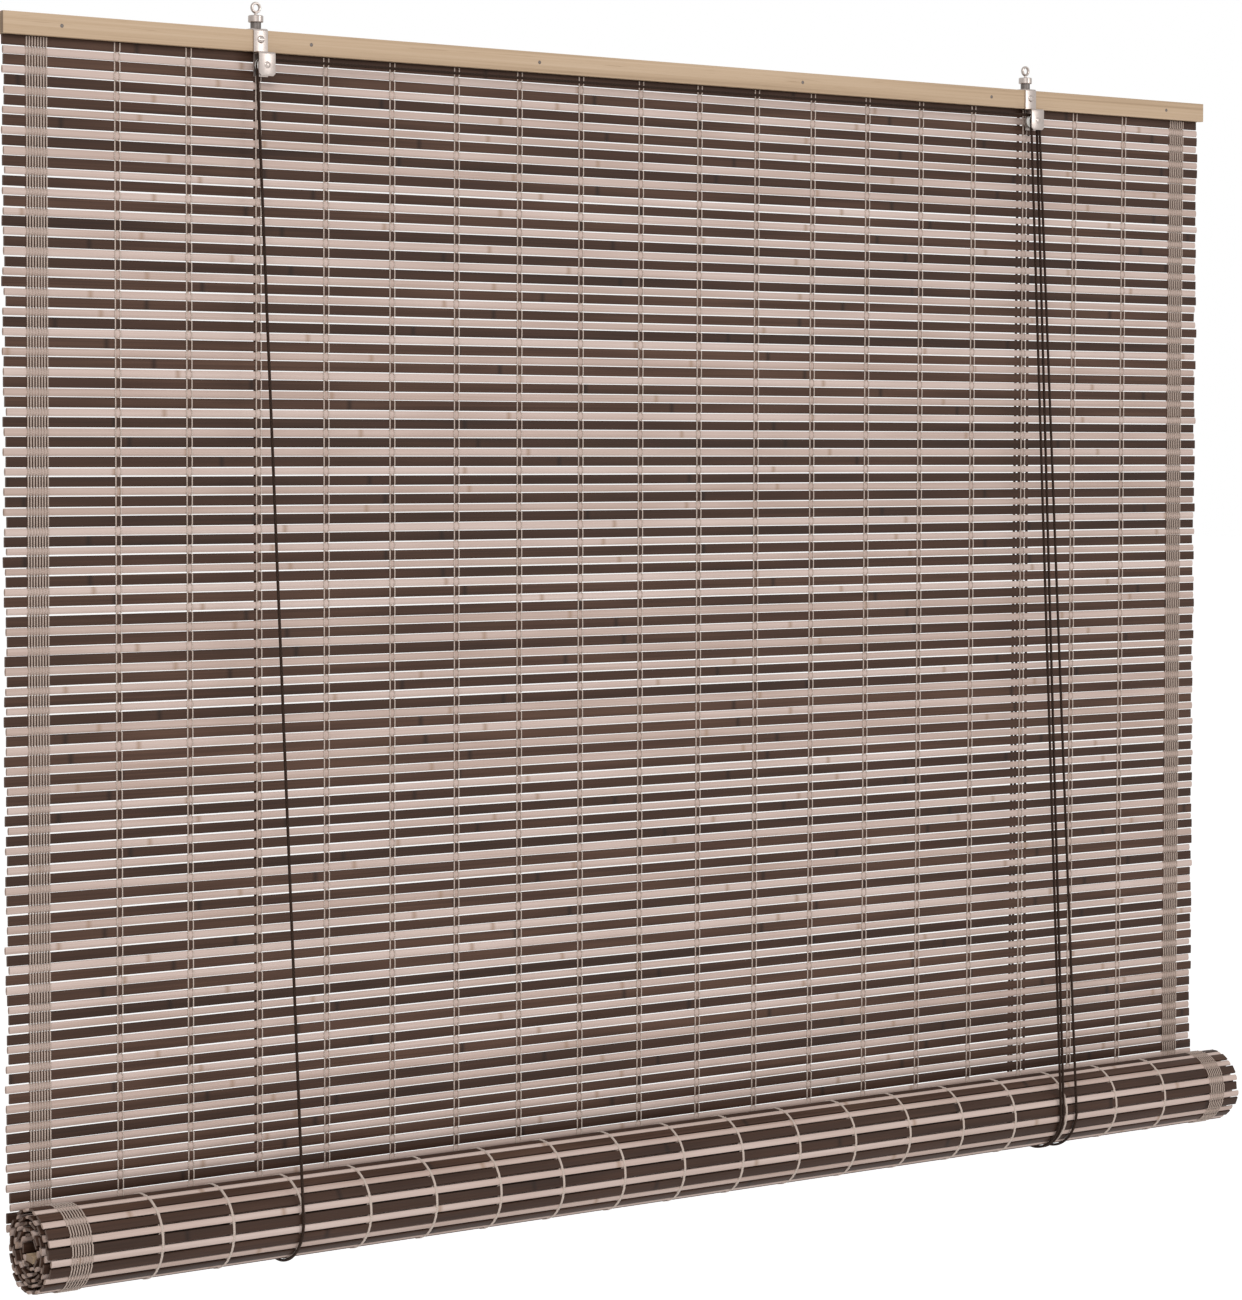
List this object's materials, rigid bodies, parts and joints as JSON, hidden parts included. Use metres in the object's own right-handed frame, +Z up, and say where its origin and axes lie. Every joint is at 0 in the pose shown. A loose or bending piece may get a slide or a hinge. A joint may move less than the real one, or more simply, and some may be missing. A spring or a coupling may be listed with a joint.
{
  "type": "roll-up blind",
  "caption": "Half-raised roll-up blind: dark slats and pale sticks bound with thread, rolled forwards at the bottom on cords over pulleys below a two-lath head rail.",
  "frame": {"origin": "midway between the holes of the two hanging eyes", "axes": "+X along the head rail to the right as seen from the front, -Y towards the front where the roll lies, +Z up"},
  "size_m": [1.206, 0.0738, 0.9375],
  "materials": {
    "pale_wood": "planed, unvarnished",
    "dark_bamboo": "dark stain, matt",
    "light_bamboo": "natural, matt",
    "thread": "spun thread",
    "plated_steel": "plated, satin",
    "dark_steel": "bare nail heads",
    "white_plastic": "moulded nylon",
    "cord": "braided"
  },
  "bodies": {
    "frame": {"front_lath": "pale_wood", "rear_lath": "pale_wood", "rail_tacks": "dark_steel", "dark_slats": "dark_bamboo", "light_sticks": "light_bamboo", "warp_threads": "thread", "left_strap": "plated_steel", "right_strap": "plated_steel", "left_cheek": "plated_steel", "right_cheek": "plated_steel", "left_axle": "plated_steel", "right_axle": "plated_steel", "left_eye": "plated_steel", "right_eye": "plated_steel", "strap_screws": "plated_steel", "cord_staples": "plated_steel", "left_front_cord": "cord", "left_back_cord": "cord", "cross_cord": "cord", "right_turn_cord": "cord", "right_front_cord": "cord", "right_back_cord": "cord", "far_pull_cord": "cord", "far_back_cord": "cord", "near_pull_cord": "cord", "near_back_cord": "cord"},
    "slings": {"left_sling": "cord", "right_sling": "cord", "far_sling": "cord", "near_sling": "cord"},
    "roll": {"roll_slats": "dark_bamboo", "roll_sticks": "light_bamboo", "bottom_lath": "pale_wood"},
    "left_pulley": {"left_sheave": "white_plastic"},
    "right_pulley": {"right_sheave": "white_plastic"}
  },
  "joints": [
    {"name": "roll_lift", "type": "slide", "parent": "frame", "child": "slings", "axis": [0, 0, 1], "range_m": [0, 0.79], "deforming": ["dark_slats", "light_sticks", "warp_threads", "left_front_cord", "right_front_cord", "far_pull_cord", "near_pull_cord", "left_back_cord", "right_back_cord", "far_back_cord", "near_back_cord"]},
    {"name": "roll_turn", "type": "hinge", "parent": "slings", "child": "roll", "pos_m": [0, -0.0305, -0.8986], "axis": [1, 0, 0], "continuous": true},
    {"name": "left_sheave_spin", "type": "hinge", "parent": "frame", "child": "left_pulley", "pos_m": [-0.39, -0.0112, -0.0434], "axis": [0, 1, 0], "continuous": true},
    {"name": "right_sheave_spin", "type": "hinge", "parent": "frame", "child": "right_pulley", "pos_m": [0.39, -0.0112, -0.0434], "axis": [0, 1, 0], "continuous": true}
  ],
  "couplings": [
    {"joint": "roll_turn", "follows": "roll_lift", "rad_per_m": -32.787},
    {"joint": "left_sheave_spin", "follows": "roll_lift", "rad_per_m": 416.67},
    {"joint": "right_sheave_spin", "follows": "roll_lift", "rad_per_m": 416.67}
  ]
}
